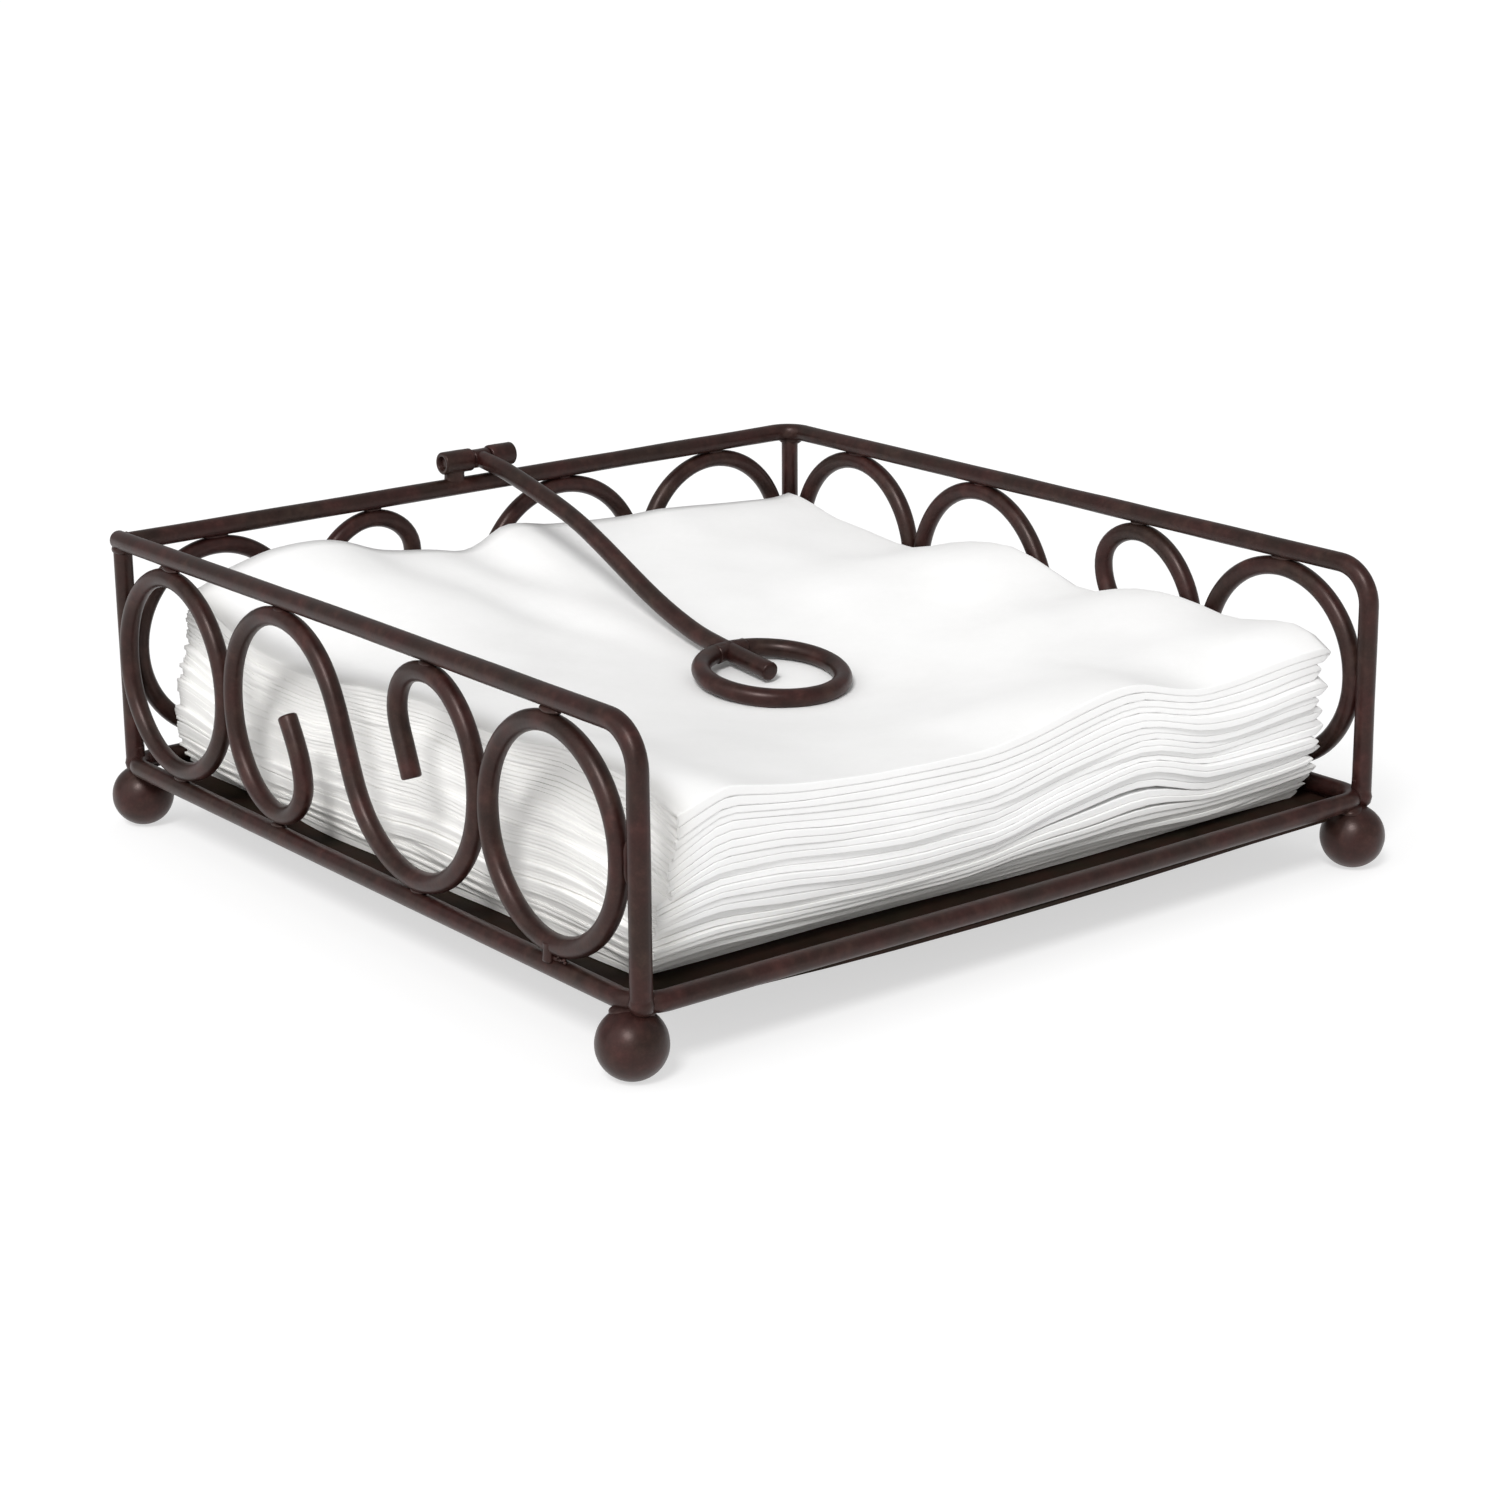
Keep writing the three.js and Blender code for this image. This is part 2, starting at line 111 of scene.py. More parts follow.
LEFT_EDGE = [
    (-85, 47), (-52, 48.4), (-33, 46), (-7, 47.5), (13, 45.8), (36, 43.2), (61, 43.8), (77, 48.8), (86, 52),
]


# ---------------------------------------------------------------- camera
def set_camera():
    az, el, roll = (math.radians(v) for v in (-36.99, 15.72, -0.80))
    back = np.array([math.sin(az) * math.cos(el), -math.cos(az) * math.cos(el), math.sin(el)])
    right = np.cross(-back, [0, 0, 1.0])
    right /= np.linalg.norm(right)
    up = np.cross(right, -back)
    c, s = math.cos(roll), math.sin(roll)
    right, up = c * right + s * up, -s * right + c * up
    at = (np.array([-15.63, 0, 37.7]) + back * 657.6) * MM
    data = bpy.data.cameras.new("camera")
    data.sensor_width = 36.0
    data.lens = 36.0 * 3178.33 / 1500.0
    data.shift_x, data.shift_y = 80 / 1500, -64 / 1500
    data.clip_start, data.clip_end = 0.01, 50
    cam = bpy.data.objects.new("camera", data)
    bpy.context.scene.collection.objects.link(cam)
    cam.matrix_world = Matrix((
        (right[0], up[0], back[0], at[0]),
        (right[1], up[1], back[1], at[1]),
        (right[2], up[2], back[2], at[2]),
        (0, 0, 0, 1),
    ))
    bpy.context.scene.camera = cam


set_camera()


# ---------------------------------------------------------------- materials
def new_material(name):
    m = bpy.data.materials.new(name)
    m.use_nodes = True
    nt = m.node_tree
    nt.nodes.clear()
    out = nt.nodes.new("ShaderNodeOutputMaterial")
    bsdf = nt.nodes.new("ShaderNodeBsdfPrincipled")
    nt.links.new(bsdf.outputs[0], out.inputs[0])
    return m, nt, bsdf


def node(nt, kind, **values):
    n = nt.nodes.new(kind)
    for k, v in values.items():
        if k in n.inputs:
            n.inputs[k].default_value = v
        else:
            setattr(n, k, v)
    return n


def noise(nt, coord, scale, detail=3.0, rough=0.55):
    n = node(nt, "ShaderNodeTexNoise")
    n.inputs["Scale"].default_value = scale
    n.inputs["Detail"].default_value = detail
    n.inputs["Roughness"].default_value = rough
    nt.links.new(coord, n.inputs["Vector"])
    return n.outputs["Fac"]


def ramp(nt, fac, stops):
    r = nt.nodes.new("ShaderNodeValToRGB")
    e = r.color_ramp.elements
    while len(e) < len(stops):
        e.new(0.5)
    for el, (pos, col) in zip(e, stops):
        el.position = pos
        el.color = (*col, 1) if len(col) == 3 else col
    nt.links.new(fac, r.inputs[0])
    return r.outputs[0]


def mixed(nt, fac, a, b, blend="MIX", amount=None):
    m = nt.nodes.new("ShaderNodeMix")
    m.data_type = "RGBA"
    m.blend_type = blend
    for socket, v in ((m.inputs[0], fac), (m.inputs[6], a), (m.inputs[7], b)):
        if v is None:
            continue
        if hasattr(v, "is_output"):
            nt.links.new(v, socket)
        else:
            socket.default_value = v
    return m.outputs[2]


def remap(nt, fac, low, high, from_low=0.3, from_high=0.7):
    m = node(nt, "ShaderNodeMapRange")
    m.inputs["From Min"].default_value = from_low
    m.inputs["From Max"].default_value = from_high
    m.inputs["To Min"].default_value = low
    m.inputs["To Max"].default_value = high
    nt.links.new(fac, m.inputs["Value"])
    return m.outputs[0]


def bump(nt, height, distance, strength, normal=None):
    b = node(nt, "ShaderNodeBump")
    b.inputs["Strength"].default_value = strength
    b.inputs["Distance"].default_value = distance
    nt.links.new(height, b.inputs["Height"])
    if normal is not None:
        nt.links.new(normal, b.inputs["Normal"])
    return b.outputs[0]


def coat(name, dark, mid, light, rough, metallic, specular=0.5):
    """Satin powder coat: mottled brown, a fine orange peel and slightly rubbed high spots."""
    m, nt, bsdf = new_material(name)
    co = node(nt, "ShaderNodeTexCoord").outputs["Object"]
    broad = noise(nt, co, 95, 3.0)
    mottle = noise(nt, co, 260, 4.0, 0.65)
    grain = noise(nt, co, 2300, 2.0)
    base = ramp(nt, mottle, [(0.3, dark), (0.52, mid), (0.74, light)])
    tint = ramp(nt, broad, [(0.36, (0.78, 1.05, 0.9)), (0.64, (1.36, 0.95, 1.0))])
    base = mixed(nt, 0.8, base, tint, "MULTIPLY")
    base = mixed(nt, remap(nt, grain, 0.0, 0.3, 0.52, 0.75), base, (*light, 1))
    nt.links.new(base, bsdf.inputs["Base Color"])
    nt.links.new(remap(nt, mottle, *rough), bsdf.inputs["Roughness"])
    peel = bump(nt, noise(nt, co, 950, 2.0), 0.00006, 0.3)
    peel = bump(nt, grain, 0.000025, 0.3, peel)
    nt.links.new(peel, bsdf.inputs["Normal"])
    bsdf.inputs["Metallic"].default_value = metallic
    bsdf.inputs["Specular IOR Level"].default_value = specular
    bsdf.inputs["Specular Tint"].default_value = (1.0, 0.8, 0.76, 1)
    return m


bronze = coat("bronze_coat", (0.0125, 0.005, 0.0042), (0.0215, 0.0088, 0.0074), (0.042, 0.0198, 0.0162), (0.3, 0.43), 0.0, 0.34)
plate_coat = coat("plate_coat", (0.012, 0.007, 0.0048), (0.019, 0.0112, 0.0075), (0.028, 0.018, 0.013), (0.55, 0.7), 0.0, 0.12)


def paper_material():
    """Soft tissue: creped fibres, faint clouding, and painted shade that makes it warmer and greyer low in the stack
    and on its left face.
    """
    m, nt, bsdf = new_material("napkin_paper")
    co = node(nt, "ShaderNodeTexCoord").outputs["Object"]
    sep = node(nt, "ShaderNodeSeparateXYZ")
    nt.links.new(co, sep.inputs[0])
    fibre = noise(nt, co, 700, 5.0, 0.7)
    cloud = noise(nt, co, 45, 3.0)
    white = ramp(nt, cloud, [(0.3, (0.885, 0.882, 0.876)), (0.7, (0.925, 0.923, 0.918))])
    white = mixed(nt, remap(nt, fibre, 0.0, 0.25, 0.45, 0.75), white, (0.955, 0.955, 0.95, 1))
    # painted shade: the paper is mixed towards a greyer, warmer colour low in the stack, near the plate
    low = remap(nt, sep.outputs[2], 0.8, 0.0, 0.0118, 0.0235)
    white = mixed(nt, low, white, (0.86, 0.85, 0.805, 1))
    # painted shade with a painted warm reflection: the stack's left face is mixed towards a greyer, creamier colour
    side = remap(nt, sep.outputs[0], 0.6, 0.0, -0.0785, -0.074)
    white = mixed(nt, side, white, (0.905, 0.893, 0.862, 1))
    nt.links.new(white, bsdf.inputs["Base Color"])
    nt.links.new(remap(nt, fibre, 0.86, 1.0), bsdf.inputs["Roughness"])
    emboss = node(nt, "ShaderNodeTexVoronoi")
    emboss.inputs["Scale"].default_value = 620
    nt.links.new(co, emboss.inputs["Vector"])
    facing = node(nt, "ShaderNodeNewGeometry")
    steep = node(nt, "ShaderNodeSeparateXYZ")
    nt.links.new(facing.outputs["True Normal"], steep.inputs[0])
    flat = node(nt, "ShaderNodeMath", operation="ABSOLUTE")
    nt.links.new(steep.outputs[2], flat.inputs[0])
    cut = node(nt, "ShaderNodeMix", data_type="VECTOR")
    nt.links.new(remap(nt, flat.outputs[0], 1.0, 0.0, 0.45, 0.7), cut.inputs[0])
    nt.links.new(facing.outputs["Normal"], cut.inputs[4])
    nt.links.new(facing.outputs["True Normal"], cut.inputs[5])
    b = bump(nt, emboss.outputs["Distance"], 0.00005, 0.2, cut.outputs[1])
    b = bump(nt, fibre, 0.00008, 0.3, b)
    nt.links.new(b, bsdf.inputs["Normal"])
    bsdf.inputs["Specular IOR Level"].default_value = 0.1
    return m


paper = paper_material()


# ---------------------------------------------------------------- mesh helpers
def make(name, verts, faces, material, body, node_names=(), smooth=True):
    mesh = bpy.data.meshes.new(name)
    mesh.from_pydata((np.asarray(verts) * MM).tolist(), [], [tuple(int(i) for i in f) for f in faces])
    mesh.validate()
    if smooth:
        mesh.polygons.foreach_set("use_smooth", [True] * len(mesh.polygons))
    mesh.update()
    obj = bpy.data.objects.new(name, mesh)
    bpy.context.scene.collection.objects.link(obj)
    mesh.materials.append(material)
    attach(obj, body)
    if node_names:
        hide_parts(*node_names)
    return obj


class Parts:
    """Several closed shells gathered into one mesh."""

    def __init__(self):
        self.verts, self.faces, self.count = [], [], 0

    def add(self, verts, faces):
        verts = np.asarray(verts, float)
        self.verts.append(verts)
        self.faces += [tuple(i + self.count for i in f) for f in faces]
        self.count += len(verts)

    def done(self):
        return np.concatenate(self.verts), self.faces


def spline(points, spacing):
    """A natural cubic spline through the points, sampled evenly."""
    p = np.asarray(points, float)
    t = np.concatenate([[0], np.cumsum(np.linalg.norm(np.diff(p, axis=0), axis=1) ** 0.8)])
    n = len(p)
    h = np.diff(t)
    a = np.zeros((n, n))
    b = np.zeros((n, p.shape[1]))
    a[0, 0] = a[-1, -1] = 1
    for i in range(1, n - 1):
        a[i, i - 1], a[i, i], a[i, i + 1] = h[i - 1], 2 * (h[i - 1] + h[i]), h[i]
        b[i] = 6 * ((p[i + 1] - p[i]) / h[i] - (p[i] - p[i - 1]) / h[i - 1])
    m = np.linalg.solve(a, b)

    def at(x):
        i = np.clip(np.searchsorted(t, x, "right") - 1, 0, n - 2)
        hh = h[i][:, None]
        u, v = (t[i + 1] - x)[:, None], (x - t[i])[:, None]
        return (
            m[i] * u**3 / (6 * hh)
            + m[i + 1] * v**3 / (6 * hh)
            + (p[i] / hh - m[i] * hh / 6) * u
            + (p[i + 1] / hh - m[i + 1] * hh / 6) * v
        )

    fine = at(np.linspace(0, t[-1], 3000))
    along = np.concatenate([[0], np.cumsum(np.linalg.norm(np.diff(fine, axis=0), axis=1))])
    want = np.linspace(0, along[-1], max(8, int(round(along[-1] / spacing))) + 1)
    return np.stack([np.interp(want, along, fine[:, k]) for k in range(p.shape[1])], 1)


def straight(a, b, spacing=6.0):
    a, b = np.asarray(a, float), np.asarray(b, float)
    n = max(2, int(np.linalg.norm(b - a) / spacing))
    return a + (b - a) * np.linspace(0, 1, n + 1)[:, None]


def arc(center, u, v, radius, a0, a1, steps):
    a = np.linspace(a0, a1, steps + 1)[:, None]
    return np.asarray(center, float) + radius * (np.cos(a) * np.asarray(u, float) + np.sin(a) * np.asarray(v, float))


def chain(*runs):
    """Runs of points end to end, without doubled points."""
    out = [runs[0][0]]
    for run in runs:
        for p in run:
            if np.linalg.norm(p - out[-1]) > 0.05:
                out.append(p)
    return np.array(out)


def sines(seed, count=5):
    r = np.random.default_rng(seed)
    return r.normal(size=count), r.uniform(0.6, 1.6, count), r.uniform(0, 2 * math.pi, count)


def wobble(s, seed, wave):
    """Smooth random numbers of about unit size along s."""
    a, f, p = sines(seed)
    return (a[:, None] * np.sin(2 * math.pi * f[:, None] * np.asarray(s)[None] / wave + p[:, None])).sum(0) / 2.2


def tube(points, r=WIRE_R, sides=24, closed=False, seed=1, round_end=0.5):
    """Verts and faces of round wire along points, with cut ends whose rims are eased by the coating."""
    p = np.asarray(points, float)
    n = len(p)
    if closed:
        tan = np.roll(p, -1, 0) - np.roll(p, 1, 0)
        seg = np.linalg.norm(np.roll(p, -1, 0) - p, axis=1)
    else:
        tan = np.gradient(p, axis=0)
        seg = np.linalg.norm(np.diff(p, axis=0), axis=1)
    tan /= np.linalg.norm(tan, axis=1)[:, None]
    s = np.concatenate([[0], np.cumsum(seg)])[:n]
    first = np.cross(tan[0], [0.31, 0.2, 0.93])
    first /= np.linalg.norm(first)
    nor = [first]
    for i in range(1, n):
        v = nor[-1] - tan[i] * np.dot(nor[-1], tan[i])
        nor.append(v / np.linalg.norm(v))
    nor = np.array(nor)
    if closed:  # spread the leftover twist round the loop
        v = nor[-1] - tan[0] * np.dot(nor[-1], tan[0])
        v /= np.linalg.norm(v)
        left = math.atan2(np.dot(np.cross(v, nor[0]), tan[0]), np.dot(v, nor[0]))
        w = left * np.arange(n) / n
        bi = np.cross(tan, nor)
        nor = nor * np.cos(w)[:, None] + bi * np.sin(w)[:, None]
    bi = np.cross(tan, nor)
    ang = np.linspace(0, 2 * math.pi, sides, endpoint=False)
    ring = np.cos(ang)[None, :, None] * nor[:, None] + np.sin(ang)[None, :, None] * bi[:, None]
    rad = np.full(n, r)
    if closed:
        k = np.arange(n) * 2 * math.pi / n
        a, f, ph = sines(seed)
        rad = r * (1 + 0.006 * sum(a[i] * np.sin((i + 2) * k + ph[i]) for i in range(5)))
    else:
        rad = r * (1 + 0.009 * wobble(s, seed, 45.0))
    verts = (p[:, None] + ring * rad[:, None, None]).reshape(-1, 3)
    faces = []
    for i in range(n if closed else n - 1):
        j = (i + 1) % n
        for k in range(sides):
            q = (k + 1) % sides
            faces.append((i * sides + k, j * sides + k, j * sides + q, i * sides + q))
    if closed:
        return verts, [f[::-1] for f in faces]
    extra = []
    for end, row, sign in ((0, 0, -1.0), (n - 1, n - 1, 1.0)):
        base = row * sides
        prev = list(range(base, base + sides))
        for th in (30, 60, 90):
            a = math.radians(th)
            rr = rad[end] - round_end + round_end * math.cos(a)
            start = len(verts) + sum(len(x) for x in extra)
            extra.append(p[end] + ring[end] * rr + tan[end] * sign * round_end * math.sin(a) * 0.999)
            now = list(range(start, start + sides))
            for k in range(sides):
                q = (k + 1) % sides
                f = (prev[k], now[k], now[q], prev[q])
                faces.append(f if sign > 0 else f[::-1])
            prev = now
        for frac in (0.55,):
            start = len(verts) + sum(len(x) for x in extra)
            rr = (rad[end] - round_end) * frac
            extra.append(p[end] + ring[end] * rr + tan[end] * sign * round_end * 1.02)
            now = list(range(start, start + sides))
            for k in range(sides):
                q = (k + 1) % sides
                f = (prev[k], now[k], now[q], prev[q])
                faces.append(f if sign > 0 else f[::-1])
            prev = now
        start = len(verts) + sum(len(x) for x in extra)
        extra.append((p[end] + tan[end] * sign * round_end * 1.03)[None])
        for k in range(sides):
            q = (k + 1) % sides
            f = (prev[k], start, prev[q])
            faces.append(f if sign > 0 else f[::-1])
    verts = np.concatenate([verts, *extra])
    return verts, [f[::-1] for f in faces]


def wire(name, points, body, nodes, closed=False, seed=1, r=WIRE_R, sides=24):
    v, f = tube(points, r, sides, closed, seed)
    return make(name, v, f, bronze, body, nodes)


def neck(a, b, along, length, thick, waist=0.72, seed=1, rows=13, sides=22):
    """A weld between two wires: a waisted blob from point a to point b, longer along one way than across it."""
    a, b = np.asarray(a, float), np.asarray(b, float)
    axis = b - a
    axis /= np.linalg.norm(axis)
    along = np.asarray(along, float)
    along = along - axis * np.dot(along, axis)
    along /= np.linalg.norm(along)
    across = np.cross(axis, along)
    ang = np.linspace(0, 2 * math.pi, sides, endpoint=False)
    lump = wobble(ang * 4, seed, 9.0)
    verts, faces = [], []
    for i in range(rows):
        u = i / (rows - 1)
        v = 2 * u - 1
        k = waist + (1 - waist) * v * v
        c, s = np.cos(ang), np.sin(ang)
        sq = 1 / np.maximum((np.abs(c) ** 2.5 + np.abs(s) ** 2.5) ** (1 / 2.5), 1e-6)
        big = k * (1 + 0.05 * lump * (1 - v * v)) * sq
        verts.append(
            a + (b - a) * u
            + (big * c)[:, None] * length * along
            + (big * s)[:, None] * thick * across
        )
    verts = np.concatenate(verts)
    for i in range(rows - 1):
        for k in range(sides):
            q = (k + 1) % sides
            faces.append((i * sides + k, i * sides + q, (i + 1) * sides + q, (i + 1) * sides + k))
    faces.append(tuple(range(sides))[::-1])
    faces.append(tuple(range((rows - 1) * sides, rows * sides)))
    return verts, faces


def bead(center, along, up, semi, seed=1, rows=13, sides=20):
    """A small smooth weld: a slightly lumpy ellipsoid with half sizes along, across and up."""
    center, along, up = (np.asarray(v, float) for v in (center, along, up))
    across = np.cross(along, up)
    th = np.linspace(0, math.pi, rows)[1:-1]
    ang = np.linspace(0, 2 * math.pi, sides, endpoint=False)
    verts = [center - along * semi[0]]
    for t in th:
        k = 1 + 0.06 * wobble(ang * 3 + t * 5, seed, 9.0)
        verts += list(
            center - along * semi[0] * math.cos(t)
            + (np.cos(ang) * k)[:, None] * across * semi[1] * math.sin(t)
            + (np.sin(ang) * k)[:, None] * up * semi[2] * math.sin(t)
        )
    verts.append(center + along * semi[0])
    faces = []
    n = len(th)
    for k in range(sides):
        q = (k + 1) % sides
        faces.append((0, 1 + q, 1 + k))
        for i in range(n - 1):
            a, b = 1 + i * sides, 1 + (i + 1) * sides
            faces.append((a + k, a + q, b + q, b + k))
        a = 1 + (n - 1) * sides
        faces.append((a + k, a + q, 1 + n * sides))
    return np.array(verts), faces


def lathe(profile, center, axis, up, sides=40, bumps=0.0, seed=3):
    """Verts and faces of a closed turned shape; profile is (radius, height) pairs. Radius 0 closes an end."""
    axis, up = np.asarray(axis, float), np.asarray(up, float)
    side = np.cross(axis, up)
    ang = np.linspace(0, 2 * math.pi, sides, endpoint=False)
    verts, rows, faces = [], [], []
    for r, h in profile:
        at = np.asarray(center, float) + axis * h
        if r < 1e-6:
            rows.append([len(verts)])
            verts.append(at)
        else:
            rows.append(list(range(len(verts), len(verts) + sides)))
            k = 1 + bumps * wobble(ang * 3 + h, seed, 7.0)
            verts += list(at + (np.cos(ang) * r * k)[:, None] * up + (np.sin(ang) * r * k)[:, None] * side)
    loops = list(zip(rows, rows[1:]))
    if len(rows[0]) > 1 and len(rows[-1]) > 1:
        loops.append((rows[-1], rows[0]))
    for a, b in loops:
        for k in range(sides):
            q = (k + 1) % sides
            if len(a) == 1:
                faces.append((a[0], b[q], b[k]))
            elif len(b) == 1:
                faces.append((a[k], a[q], b[0]))
            else:
                faces.append((a[k], a[q], b[q], b[k]))
    return np.array(verts), faces


X, Y, Z = np.eye(3)

# ---------------------------------------------------------------- base
c = BASE_HALF - BASE_CORNER
loop = []
for k, (sx, sy) in enumerate([(1, 1), (-1, 1), (-1, -1), (1, -1)]):
    a = k * math.pi / 2
    loop.append(arc((sx * c, sy * c, BASE_Z), X, Y, BASE_CORNER, a, a + math.pi / 2, 14))
loop = chain(
    loop[0], straight(loop[0][-1], loop[1][0]), loop[1], straight(loop[1][-1], loop[2][0]),
    loop[2], straight(loop[2][-1], loop[3][0]), loop[3], straight(loop[3][-1], loop[0][0])[:-1],
)
sag = np.clip(1 - np.abs(loop[:, 0] - 10) / 90, 0, 1) * (loop[:, 1] < -92)  # the front rail bows down
loop[:, 2] -= 0.35 * sag * sag * (3 - 2 * sag)
wire("base_frame_wire", loop, "holder", ["base_frame"], closed=True, seed=11)

# floor plate: its front edge is cut a little unevenly and bows down with the rail
FRONT_CUT = [
    (-90, -88.3), (-82, -89.5), (-76, -90.5), (-63, -91.2), (-50, -92.2), (-36, -92.8), (-14, -93.2),
    (0, -93.3), (25, -93.25), (42, -92.9), (60, -92.4), (93, -92.2),
]


def round_cut(name, a0, a1):
    x, y = FEET[name]
    return [(x + 7 * math.cos(a), y + 7 * math.sin(a)) for a in np.radians(np.linspace(a0, a1, 15))]


def bow(x):
    t = np.clip(1 - np.abs(x - 10) / 90, 0, 1)
    return t * t * (3 - 2 * t)


outline = [(x, float(np.interp(x, *zip(*FRONT_CUT)))) for x in np.linspace(-85.9, 83.2, 60)]
front_count = len(outline)
outline += round_cut("foot_front_right", 174.75, 63.9)[1:] + round_cut("foot_back_right", -87, -204.3)
outline += round_cut("foot_back_left", 1.3, -92.3) + round_cut("foot_front_left", 69.6, 10.1)[:-1]
drop = [0.3 * bow(x) if i < front_count else 0.0 for i, (x, _) in enumerate(outline)]
v = [(x, y, PLATE_TOP - d) for (x, y), d in zip(outline, drop)] + [(x, y, PLATE_TOP - 1 - d) for (x, y), d in zip(outline, drop)]
n = len(outline)
f = [tuple(range(n)), tuple(range(2 * n - 1, n - 1, -1))]
f += [(n + i, n + (i + 1) % n, (i + 1) % n, i) for i in range(n)]
plate = make("base_plate_sheet", v, f, plate_coat, "holder", ["base_plate"], smooth=False)
edge = plate.modifiers.new("eased_edge", "BEVEL")
edge.width, edge.segments, edge.limit_method, edge.angle_limit = 0.0002, 2, "ANGLE", math.radians(40)

# the coat closes the joint between the plate and the rails that lie on it
base_welds = Parts()
base_welds.add(*tube(straight((93.0, -84.5, 12.1), (93.0, 82.0, 12.1)), 0.5, 12, seed=31, round_end=0.3))
base_welds.add(*tube(straight((-82.0, 92.7, 12.1), (85.0, 92.7, 12.1)), 0.5, 12, seed=32, round_end=0.3))
base_welds.add(*tube(straight((-90.85, -83.0, 12.45), (-90.85, 85.0, 12.45)), 0.85, 12, seed=33, round_end=0.3))
for i, (name, (fx, fy)) in enumerate(FEET.items()):
    profile = [(0, 0.0)]
    for th in np.radians(np.linspace(-90, 84, 36))[1:]:
        profile.append((FOOT_R * math.cos(th), FOOT_R * (1 + math.sin(th)) + (0.04 if th < -1.4 else 0)))
    top = profile[-1]
    profile += [(top[0] * 0.6, top[1] + 0.02), (0, top[1] + 0.03)]
    v, f = lathe(profile, (fx, fy, 0), Z, X, 48, 0.0025, 20 + i)
    make(name + "_ball", v, f, bronze, "holder", [name])
    way = np.array([-fy, fx, 0]) / math.hypot(fx, fy)
    base_welds.add(*bead((fx * 0.995, fy * 0.995, 12.3), way, Z, (4.2, 2.7, 1.5), 30 + i))

# ---------------------------------------------------------------- hoops and posts
P = POST_HALF
foot = BASE_Z + 0.2
left = chain(
    straight((-P, -P, foot), (-P, -P, TOP_Z - POST_BEND)),
    arc((-P, -P + POST_BEND, TOP_Z - POST_BEND), -Y, Z, POST_BEND, 0, math.pi / 2, 18),
    straight((-P, -P + POST_BEND, TOP_Z), (-P, 0, TOP_Z + 0.15)),
    straight((-P, 0, TOP_Z + 0.15), (-P, P + RAIL_OVERHANG - 0.5, LEFT_BACK_Z)),
)
wire("left_hoop_wire", left, "holder", ["left_hoop"], seed=12, r=2.07)
back_right = chain(
    straight((-P + WIRE_R - 0.4, P, BACK_LEFT_Z), (P - RAIL_BEND, P, BACK_Z)),
    arc((P - RAIL_BEND, P - RAIL_BEND, BACK_Z), Y, X, RAIL_BEND, 0, math.pi / 2, 14),
    straight((P, P - RAIL_BEND, BACK_Z), (P + 0.3, -P + POST_BEND, RIGHT_FRONT_Z)),
    arc((P + 0.3, -P + POST_BEND, RIGHT_FRONT_Z - POST_BEND), Z, -Y, POST_BEND, 0, math.pi / 2, 18),
    straight((P + 0.3, -P, RIGHT_FRONT_Z - POST_BEND), (P + 0.7, -P, foot)),
)
wire("back_right_hoop_wire", back_right, "holder", ["back_right_hoop"], seed=13)
BL, BR = (-91.85, 92.1), (91.6, 91.9)
wire("post_back_left_wire", straight((*BL, foot), (*BL, TOP_Z - 1.2)), "holder", ["post_back_left"], seed=14)
wire("post_back_right_wire", straight((*BR, foot), (*BR, BACK_Z - 1.2)), "holder", ["post_back_right"], seed=15)
for i, (x, y) in enumerate([(-P, -P), (P + 0.7, -P), BL, BR]):
    profile = [(0, -2.0), (1.5, -1.8), (2.1, -1.1)]
    for u in np.linspace(0, 1, 9):
        profile.append((WIRE_R - 0.03 + 0.4 * (1 - u) ** 2.6, 0.2 + 3.8 * u))
    profile.append((0, 4.1))
    base_welds.add(*lathe(profile, (x * 0.999, y * 0.999, BASE_Z), Z, X, 28, 0.012, 40 + i))
base_welds.add(*bead((-92.2, 92.1, LEFT_BACK_Z - 2.0), Y, Z, (2.6, 1.9, 1.3), 45))
base_welds.add(*bead((91.7, 91.7, BACK_Z - 1.9), (0.7071, -0.7071, 0), Z, (3.0, 2.0, 1.5), 46))
base_welds.add(*bead((-P + 1.9, P, BACK_LEFT_Z + 0.1), Y, Z, (2.0, 1.2, 2.0), 47))
v, f = base_welds.done()
make("corner_welds", v, f, bronze, "holder")

# ---------------------------------------------------------------- scroll panels
scroll_line = [(-p, -z) for p, z in SCROLL_HALF[::-1]] + [(0, 0)] + SCROLL_HALF


